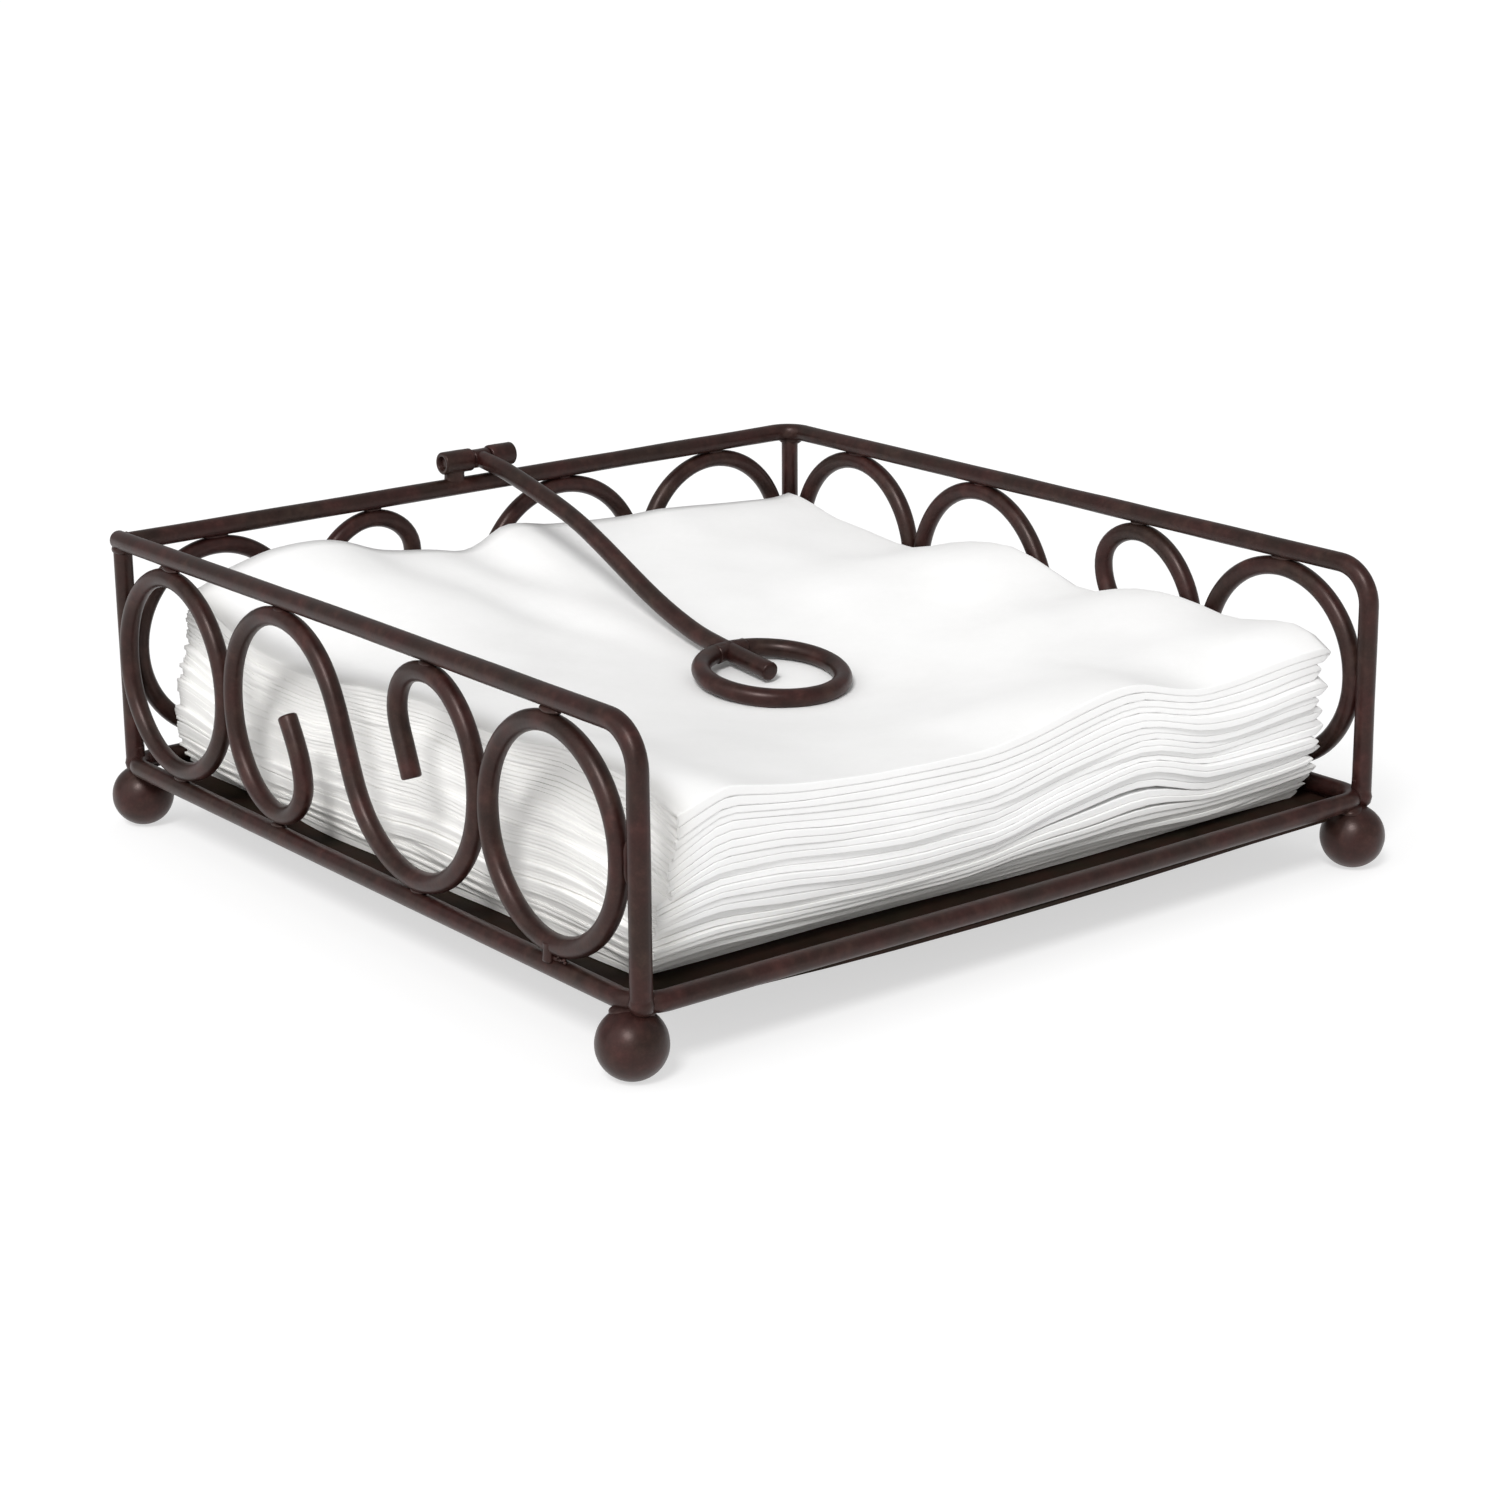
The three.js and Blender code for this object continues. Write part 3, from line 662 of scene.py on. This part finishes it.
def panel(side, origin, along, seed, rail, rings, line):
    """Two rings and a scroll between the base and a top rail; rail gives the rail's two heights."""
    origin, along = np.asarray(origin, float), np.asarray(along, float)

    def at(p, z):
        return origin + along * p + Z * (z - PANEL_Z)

    def under(p):
        return rail[0] + (rail[1] - rail[0]) * (p + P) / (2 * P) - WIRE_R

    welds = Parts()
    low = BASE_Z + WIRE_R
    for i, (tag, s, c0, mid, half, up) in enumerate((("ring_a", -1, *rings[0]), ("ring_b", 1, *rings[1]))):
        a = np.linspace(0, 2 * math.pi, 150, endpoint=False)
        ring = at(c0, mid) + (half * np.cos(a))[:, None] * along + (up * np.sin(a))[:, None] * Z
        wire(f"{side}_{tag}_wire", ring, "holder", [f"{side}_{tag}"], closed=True, seed=seed + i)
        r = np.random.default_rng(seed + 40 + i)
        j = r.normal(size=4) * 0.4
        welds.add(*bead(at(c0 + j[0], under(c0) - 0.1), along, Z, (2.7 + 0.4 * j[1], 1.3, 0.75), seed + 3 + i))
        welds.add(*bead(at(c0 + j[2], low + 0.1), along, Z, (2.6 + 0.4 * j[3], 1.3, 0.75), seed + 5 + i))
        welds.add(*bead(at(s * (P - WIRE_R - 0.05), mid + j[1]), Z, along, (4.2, 1.2, 0.6), seed + 7 + i))
        welds.add(*bead(at(c0 - s * (half + WIRE_R), mid - s * 1.2 + j[2]), Z, along, (4.6, 1.2, 0.6), seed + 9 + i))
    wire(f"{side}_scroll_wire", spline([at(p, z + PANEL_Z) for p, z in line], 1.25), "holder", [f"{side}_scroll"], seed=seed + 2)
    pts = spline(line, 1.0)
    for i, sign in enumerate((1, -1)):
        near = pts[pts[:, 1] * sign > 19.0]
        for k, part in enumerate((near[near[:, 0] > 0], near[near[:, 0] < 0])):
            if len(part) == 0:
                continue
            c0 = part[np.argmax(part[:, 1] * sign), 0]
            z = under(c0) - 0.1 if sign > 0 else low + 0.1
            welds.add(*bead(at(c0, z), along, Z, (2.2, 1.2, 0.6), seed + 11 + 2 * i + k))
    v, f = welds.done()
    make(f"{side}_welds", v, f, bronze, "holder")


def pressed(line, rail):
    """A scroll whose upper bends come up to a sloping rail."""
    out = []
    for p, z in line:
        room = rail[0] + (rail[1] - rail[0]) * (p + P) / (2 * P) - 2 * WIRE_R - PANEL_Z
        out.append((p, z * (room + 0.1) / 20.7 if z > 0 else z))
    return out


def shifted(line, table):
    """A scroll bent a little unevenly along its side."""
    return [(p + np.interp(p, *zip(*table)), z) for p, z in line]


RIGHT_BENT = [(-46, 0.2), (-38, 0.35), (-30, 0.8), (-18, 1.3), (0, 1.2), (12, 1.0), (22, 0.5), (44, 0)]
left_rail, right_rail, back_rail = (TOP_Z, LEFT_BACK_Z), (RIGHT_FRONT_Z, BACK_Z), (BACK_LEFT_Z, BACK_Z)
panel("left", (LEFT_PANEL, 0, PANEL_Z), Y, 100, left_rail,
      [(-67.3, 39.15, 20.15, 20.6), (69.4, 39.05, 20.4, 20.7)], LEFT_SCROLL)
panel("right", (RIGHT_PANEL, 0, PANEL_Z), Y, 200, right_rail,
      [(-68.55, 38.55, 20.25, 20.3), (67.9, 39.1, 20.1, 20.8)],
      shifted(pressed(scroll_line, right_rail), RIGHT_BENT))
panel("back", (0, BACK_PANEL, PANEL_Z), X, 300, back_rail,
      [(-69.3, 38.95, 19.6, 20.4), (67.9, 39.1, 20.3, 20.8)],
      [(p * 1.016 - 0.5, z) for p, z in pressed(scroll_line, back_rail)])

# a tack weld and its spatter under the front ring of the left side
tack = Parts()
tack.add(*neck((-94.2, -67.35, 19.1), (-94.3, -67.3, 15.6), Y, 1.25, 0.9, 0.92, 371))
r = np.random.default_rng(372)
for i in range(6):
    y, z = -69.6 - 0.62 * i + r.normal() * 0.25, 16.5 + 0.4 * abs(r.normal())
    a = 0.22 + 0.12 * r.random()
    tack.add(*bead((-94.1 + 0.1 * r.normal(), y, z), Y, Z, (a * 1.2, a, a), 373 + i, 7, 10))
v, f = tack.done()
make("left_tack_weld", v, f, bronze, "holder")

# ---------------------------------------------------------------- hinge
hinge_welds = Parts()
for name, s, to in (("hinge_barrel_left", -1, 10.25), ("hinge_barrel_right", 1, 8.95)):
    e = 0.45
    profile = [(BORE_R, BARREL_FROM + 0.2), (BORE_R + 0.2, BARREL_FROM)]
    for th in np.radians([0, 30, 60, 90]):
        profile.append((BARREL_R - e + e * math.sin(th), BARREL_FROM + e - e * math.cos(th)))
    mid = np.linspace(BARREL_FROM + e, to - e, 7)[1:-1]
    profile += [(BARREL_R * (1 + 0.006 * math.sin(3 * h)), h) for h in mid]
    for th in np.radians([0, 30, 60, 90]):
        profile.append((BARREL_R - e + e * math.cos(th), to - e + e * math.sin(th)))
    profile += [(BORE_R + 0.2, to), (BORE_R, to - 0.2)]
    v, f = lathe(profile, (0, P, HINGE_Z), X * s, Z, 44, 0.004, 61 + s)
    make(name + "_tube", v, f, bronze, "holder", [name])
    m = s * (BARREL_FROM + to) / 2 + (-0.4 if s < 0 else 0.2)
    hinge_welds.add(*neck((m, P, HINGE_Z - 1.4), (m, P, BACK_Z + 0.6), X, 3.0, 1.6, 0.86, 64 + s))
v, f = hinge_welds.done()
make("hinge_welds", v, f, bronze, "holder")

profile = [(0, PIN_LEFT - 0.1), (PIN_R * 0.6, PIN_LEFT), (PIN_R, PIN_LEFT + 0.35)]
profile += [(PIN_R, h) for h in np.linspace(PIN_LEFT + 1, PIN_RIGHT - 1, 11)]
profile += [(PIN_R, PIN_RIGHT - 0.35), (PIN_R * 0.6, PIN_RIGHT), (0, PIN_RIGHT + 0.1)]
v, f = lathe(profile, (0, P, HINGE_Z), X, Z, 32, 0.003, 71)
make("hinge_pin_rod", v, f, bronze, "arm", ["hinge_pin"])

# ---------------------------------------------------------------- press arm
arm_line = spline([(0, y, z) for y, z in ARM_PROFILE], 1.6)
wire("press_arm_wire", arm_line[1:], "arm", ["press_arm"], seed=81)
rear = np.array([0, math.cos(PRESS_TILT), math.sin(PRESS_TILT)])
middle = np.array([0, PRESS_Y, PRESS_Z])
gap = (WIRE_R * 0.55) / PRESS_R
wire(
    "press_ring_wire",
    arc(middle, rear, X, PRESS_R, gap, 2 * math.pi - gap, 110),
    "arm", ["press_ring"], seed=82,
)
arm_welds = Parts()
arm_welds.add(*neck((-2.05, P, HINGE_Z), (2.05, P, HINGE_Z), Y, 2.1, 2.1, 1.0, 83))
for s in (-1, 1):
    tip = middle + PRESS_R * (math.cos(0.27) * rear + s * math.sin(0.27) * X)
    root = middle + PRESS_R * rear
    arm_welds.add(*neck(root, tip, rear, 2.25, 2.0, 0.93, 84 + s))
v, f = arm_welds.done()
make("arm_welds", v, f, bronze, "arm")


# ---------------------------------------------------------------- napkins
def cubic(a, b, c, d, t):
    return b + 0.5 * t * (c - a + t * (2 * a - 5 * b + 4 * c - d + t * (3 * (b - c) + d - a)))


def soft_min(a, b, k=0.9):
    low = np.minimum(a, b)
    return low - k * np.log(np.exp(-(a - low) / k) + np.exp(-(b - low) / k))


def hump(x, y, cx, cy, sx, sy):
    return np.exp(-(((x - cx) / sx) ** 2) - ((y - cy) / sy) ** 2)


def waves(x, y, seed, length, count=6):
    r = np.random.default_rng(seed)
    a = r.uniform(0, 2 * math.pi, count)
    w = 2 * math.pi / (length * r.uniform(0.7, 1.5, count))
    p = r.uniform(0, 2 * math.pi, count)
    g = r.normal(size=count)
    total = sum(g[i] * np.sin(w[i] * (np.cos(a[i]) * x + np.sin(a[i]) * y) + p[i]) for i in range(count))
    return total / math.sqrt(count) * 1.2


arm_y = np.array([y for y, z in ARM_PROFILE])[::-1]
arm_z = np.array([z for y, z in ARM_PROFILE])[::-1]


def eased(table, soft=2.2):
    """A smooth curve through a list of (place, height) pairs."""
    at = np.arange(-100.0, 100.5, 0.5)
    z = np.interp(at, [a for a, _ in table], [b for _, b in table])
    k = np.exp(-0.5 * (np.arange(-20, 21) * 0.5 / soft) ** 2)
    z = np.convolve(np.pad(z, 20, mode="edge"), k / k.sum(), mode="valid")
    return lambda t: np.interp(t, at, z)


front_edge, back_edge, right_edge, left_edge = (eased(t) for t in (FRONT_EDGE, BACK_EDGE, RIGHT_EDGE, LEFT_EDGE))


def fade(t):
    f = 1 - np.clip(t, 0, 1)
    return f * f * (3 - 2 * f)


def grid_top(x, y):
    u, v = np.broadcast_arrays((x - STACK_LEFT) / GRID_STEP, (y - STACK_FRONT) / GRID_STEP)
    i = np.clip(np.floor(u), 0, 4).astype(int)
    j = np.clip(np.floor(v), 0, 4).astype(int)
    fu, fv = np.clip(u - i, 0, 1), np.clip(v - j, 0, 1)
    rows = []
    for dj in (-1, 0, 1, 2):
        jj = np.clip(j + dj, 0, 5)
        cells = [STACK_TOP[jj, np.clip(i + di, 0, 5)] for di in (-1, 0, 1, 2)]
        rows.append(cubic(*cells, fu))
    return cubic(*rows, fv)


def stack_top(x, y):
    z = grid_top(x, y)
    lift = front_edge(x) - grid_top(x, STACK_FRONT)
    z = (
        z
        + np.where(lift > 0, lift * fade((y - STACK_FRONT) / 45), lift * fade((y - STACK_FRONT) / 20))
        + (back_edge(x) - grid_top(x, STACK_BACK)) * fade((STACK_BACK - y) / 45)
        + (right_edge(y) - grid_top(STACK_RIGHT, y)) * fade((STACK_RIGHT - x) / 60)
        + (left_edge(y) - grid_top(STACK_LEFT, y)) * fade((x - STACK_LEFT) / 30)
    )
    # a faint crease from the press ring to the hump at the front, and a soft fold at the back
    across = (x + 1.7) * 0.712 + (y + 43.7) * 0.702
    on = (x + 1.7) * 0.702 - (y + 43.7) * 0.712
    z = z + 0.45 * np.exp(-((across / 2.6) ** 2)) * fade(np.abs(on - 27) / 36)
    across = (x + 24.7) * 0.956 + (y - 60.5) * 0.293
    z = z - 0.9 * np.exp(-((across / 6.0) ** 2)) * fade(np.abs(y - 48) / 52) + 0.7 * np.exp(-(((across - 11) / 8.0) ** 2)) * fade(np.abs(y - 48) / 52)
    inside = np.clip(np.minimum(np.minimum(x - STACK_LEFT, STACK_RIGHT - x), np.minimum(y - STACK_FRONT, STACK_BACK - y)) / 25, 0, 1)
    z = z + (0.5 * waves(x, y, 901, 40.0) + 0.16 * waves(x, y, 902, 17.0)) * (0.25 + 0.75 * inside)
    z = z + 1.4 * hump(x, y, STACK_RIGHT - 0.5, STACK_BACK, 5.0, 5.0)  # a turned-up corner
    under = PRESS_Z - WIRE_R - 0.1 + np.clip(y - PRESS_Y, -17, 17) * math.tan(PRESS_TILT)
    away = np.maximum(np.hypot(x, y - PRESS_Y) - 17.5, 0)
    z = soft_min(z, under + 0.62 + 0.13 * away + 0.0012 * away**2, 0.9)
    over = np.interp(y, arm_y, arm_z, left=1e3) - WIRE_R - 0.2
    z = soft_min(z, over + 0.6 + np.maximum(np.abs(x) - 2.5, 0) * 0.9, 0.8)
    return z


def droop(x, y, f):
    """How far the napkins hang at the front-left corner, at a share f of the stack's height."""
    t = (-68.5 - x) / 9.0 + (-84.5 - y) / 11.0
    t = 0.09 * np.logaddexp(0, t / 0.09)
    return t * np.interp(f, [0, 0.3, 0.5, 0.75, 1], [0, 0.4, 1.6, 3.9, 2.7])


def heave(x, y, f):
    """The hump at the front goes down through the stack: further right, lower and longer on its left, flat only low down."""
    def rise(at):
        return (front_edge(at) - np.interp(at, [2, 72], [42.6, 43.6])) * np.clip(at / 8, 0, 1) * np.clip((78 - at) / 8, 0, 1)

    u = x - 30 - 14 * (1 - f)
    there = 30 + u * np.where(u < 0, 1 - 0.45 * (1 - f), 1 + 0.2 * (1 - f))
    high = rise(there)
    high = np.where(high > 0, high * np.interp(f, [0.18, 0.34, 0.5, 0.8, 1], [0, 0.66, 0.6, 0.62, 1]), high * f**3)
    return (high - rise(x) * f) * fade((y - STACK_FRONT) / 45)


def shares(x, y):
    """How the stack's height is shared between the napkins at each place: low edge of each, and its top."""
    w = []
    for k in range(NAPKINS):
        s = 1.0 + 0.13 * waves(x, y, 500 + k, 70.0) + 0.06 * waves(x, y, 600 + k, 26.0)
        w.append(np.clip(s, 0.6, 2.0) * (0.6 + 0.6 * k / (NAPKINS - 1)))  # pressed thinner lower down
    w = np.array(w)
    return np.concatenate([np.zeros((1, *w.shape[1:])), np.cumsum(w, 0)]) / w.sum(0)


def rounded(a, n):
    """Sine and cosine of a squared-off turn."""
    c, s = np.cos(a), np.sin(a)
    return np.abs(s) ** (2 / n), np.sign(c) * np.abs(c) ** (2 / n)


def spaced(n):
    """Places from -1 to 1, closer together near the ends."""
    t = np.linspace(-1, 1, n)
    return 0.35 * np.sin(t * math.pi / 2) + 0.65 * t


def napkin(k):
    """A sheet folded in four: first at the front, then at the right."""
    r = np.random.default_rng(7000 + k)
    f = (k + 0.5) / NAPKINS
    deep, wide = (STACK_BACK - STACK_FRONT) / 2, (STACK_RIGHT - STACK_LEFT) / 2
    right_out = float(np.clip(-0.6 + 0.9 * r.normal(), -2.1, 0.45))
    left_out = float(np.clip(0.18 * r.normal(), -0.3, 0.3))
    oy = float(np.clip(0.22 * r.normal(), -0.45, 0.45))
    corner = float(np.clip(0.8 * r.normal(), -1.1, 1.3)) * np.interp(f, [0.4, 0.65], [0, 1])
    fine = 81 if k == NAPKINS - 1 else 0  # the top napkin's face
    nose = np.array([0.03, 0.1, 0.22, 0.38, 0.5, 0.62, 0.78, 0.9, 0.97])
    cols = [(deep * t, 0.0) for t in spaced(31)[::-1]] + [(-deep, a) for a in nose] + [(deep * t, 1.0) for t in spaced(fine or 31)]
    rows = [(wide * t, 0.0) for t in spaced(37)[::-1]] + [(-wide, a) for a in nose] + [(wide * t, 1.0) for t in spaced(fine or 37)]
    cx = np.array([p for p, _ in cols])[:, None]
    ca = np.array([a for _, a in cols])[:, None] * math.pi
    ry = np.array([p for p, _ in rows])[None]
    ra = np.array([a for _, a in rows])[None] * math.pi
    shape = (len(cols), len(rows))
    cs, cc = rounded(ca, 9.0)
    rs, rc = rounded(ra, 1.25)
    rho = (2 + cc) / 3
    upper = np.where(ra > 1.6, 1.0, 0.0)
    # a little slack: the leaves don't lie quite edge to edge
    slack = np.where(cx > 0, cx / deep, 0) * np.where(ca > 1, 1, 0) * r.normal() * 0.5
    px = cx + np.zeros(shape) + 0.25 - 0.25 * cs - slack
    px = px + np.clip(-cx / deep, 0, 1) ** 3 * upper * r.normal() * 0.22
    side_slack = np.where(ry > 0, ry / wide, 0) * (r.normal() * 0.15 * upper + r.normal() * 0.14 * (ca > 1))
    py = ry + np.zeros(shape) + 2.2 - 2.2 * rho * rs - side_slack
    rim = np.clip((np.abs(px) / deep - 0.8) / 0.2, 0, 1) ** 2
    px = px + 0.35 * rim * np.sign(px) * wobble(py.ravel(), 7100 + k, 80.0).reshape(shape)
    rim = np.clip((np.abs(py) / wide - 0.8) / 0.2, 0, 1) ** 2
    py = py + 0.35 * rim * np.sign(py) * wobble(px.ravel(), 7200 + k, 60.0).reshape(shape)
    turn = math.radians(r.normal() * 0.15)
    x = STACK_X - py - turn * px
    x = x + left_out + (right_out - left_out) * np.clip((x - STACK_LEFT) / (STACK_RIGHT - STACK_LEFT), 0, 1)
    y = STACK_Y + oy + px - turn * py
    x = x + corner * fade((y - STACK_FRONT) / 16) * fade((x - STACK_LEFT) / 40)
    # the front leans out, the left side spreads a little low down at the back
    lean = np.interp(f, [0, 0.12, 0.3, 0.5, 1], [1.6, -1.2, -3.4, -4.2, -5.0])
    lean = lean + np.interp(x, [-80, -40, 5], [2.2, 2.0, 0]) * np.interp(f, [0.05, 0.25], [1, 0])
    y = y + lean * np.clip((STACK_BACK - y) / (STACK_BACK - STACK_FRONT), 0, 1.1)
    spread = (
        np.interp(f, [0.04, 0.14, 0.3, 0.5, 0.62, 0.8, 1], [2.0, 2.9, 3.6, 2.8, 2.0, 0.8, 0])
        + np.interp(f, [0.04, 0.14, 0.3, 0.55, 1], [-1.5, -0.6, 0.8, 1.4, 0]) * fade((66 - y) / 34)
    )
    x = x - spread * np.clip((STACK_RIGHT - x) / (STACK_RIGHT - STACK_LEFT), 0, 1.1) ** 3
    x = np.minimum(x, 90.1)
    top = stack_top(x, y)
    share = shares(x, y)
    floor = PLATE_TOP + 0.12
    low = floor + (top - floor) * share[k] - droop(x, y, share[k]) + heave(x, y, share[k])
    high = floor + (top - floor) * share[k + 1] - droop(x, y, share[k + 1]) + heave(x, y, share[k + 1])
    room = high - low - 0.06
    loose = 0.35 * np.maximum(room - 1.9, 0) if f < 0.36 else 0.0  # under the hump they part a little
    thick = np.maximum(room - loose, 0.8)
    # each leaf thins at the pressed front fold
    thin = np.clip(1 - (cx + deep) / 3.0, 0, 1)
    leaf = np.clip(thick * 0.245, 0.2, 0.98) * (1 - 0.6 * thin)
    reach = thick / 2 - leaf / 2
    inner = (leaf / 2 + 0.01) / reach
    mid = (low + high - loose) / 2
    z = mid - (inner + (1 - inner) * (1 + cc) / 2) * rc * reach
    verts = np.stack([x, y, z], -1).reshape(-1, 3)
    n, m = shape
    i = np.arange(n - 1)[:, None] * m + np.arange(m - 1)[None]
    faces = np.stack([i, i + 1, i + m + 1, i + m], -1).reshape(-1, 4)
    obj = make(f"napkin_{k + 1:02d}", verts, faces, paper, "holder", ["napkin_stack"])
    group = obj.vertex_groups.new(name="leaf")
    for at, w in enumerate(leaf.ravel()):
        group.add([at], float(w), "REPLACE")
    s = obj.modifiers.new("paper", "SOLIDIFY")
    s.thickness, s.offset, s.use_even_offset = MM, 0.0, False
    s.vertex_group = "leaf"


for k in range(NAPKINS):
    napkin(k)


# ---------------------------------------------------------------- floor and light
def floor():
    size = 8.0
    mesh = bpy.data.meshes.new("floor")
    mesh.from_pydata([(-size, -size, 0), (size, -size, 0), (size, size, 0), (-size, size, 0)], [], [(0, 1, 2, 3)])
    obj = bpy.data.objects.new("floor", mesh)
    bpy.context.scene.collection.objects.link(obj)
    m, nt, bsdf = new_material("floor_white")
    co = node(nt, "ShaderNodeTexCoord").outputs["Object"]
    tone = ramp(nt, noise(nt, co, 3.0), [(0.3, (0.455, 0.455, 0.455)), (0.7, (0.46, 0.46, 0.46))])
    nt.links.new(tone, bsdf.inputs["Base Color"])
    bsdf.inputs["Roughness"].default_value = 0.9
    bsdf.inputs["Specular IOR Level"].default_value = 0.0
    bsdf.inputs["Emission Color"].default_value = (1, 1, 1, 1)
    bsdf.inputs["Emission Strength"].default_value = 0.6
    mesh.materials.append(m)


floor()


def sun(name, toward, strength, angle):
    data = bpy.data.lights.new(name, "SUN")
    data.energy = strength
    data.angle = math.radians(angle)
    obj = bpy.data.objects.new(name, data)
    bpy.context.scene.collection.objects.link(obj)
    obj.matrix_world = Vector(toward).to_track_quat("-Z", "Y").to_matrix().to_4x4()


sun("key_light", (0.572, 0.416, -0.707), 1.75, 16)
sun("left_fill", (0.92, 0.1, -0.38), 1.2, 80)
sun("front_fill", (-0.1, 0.95, -0.3), 0.12, 80)
world = bpy.data.worlds.new("studio")
bpy.context.scene.world = world
world.use_nodes = True
bg = world.node_tree.nodes["Background"]
bg.inputs[0].default_value = (1, 1, 1, 1)
bg.inputs[1].default_value = 0.46
bpy.context.scene.view_settings.view_transform = "Standard"
bpy.context.scene.view_settings.look = "None"
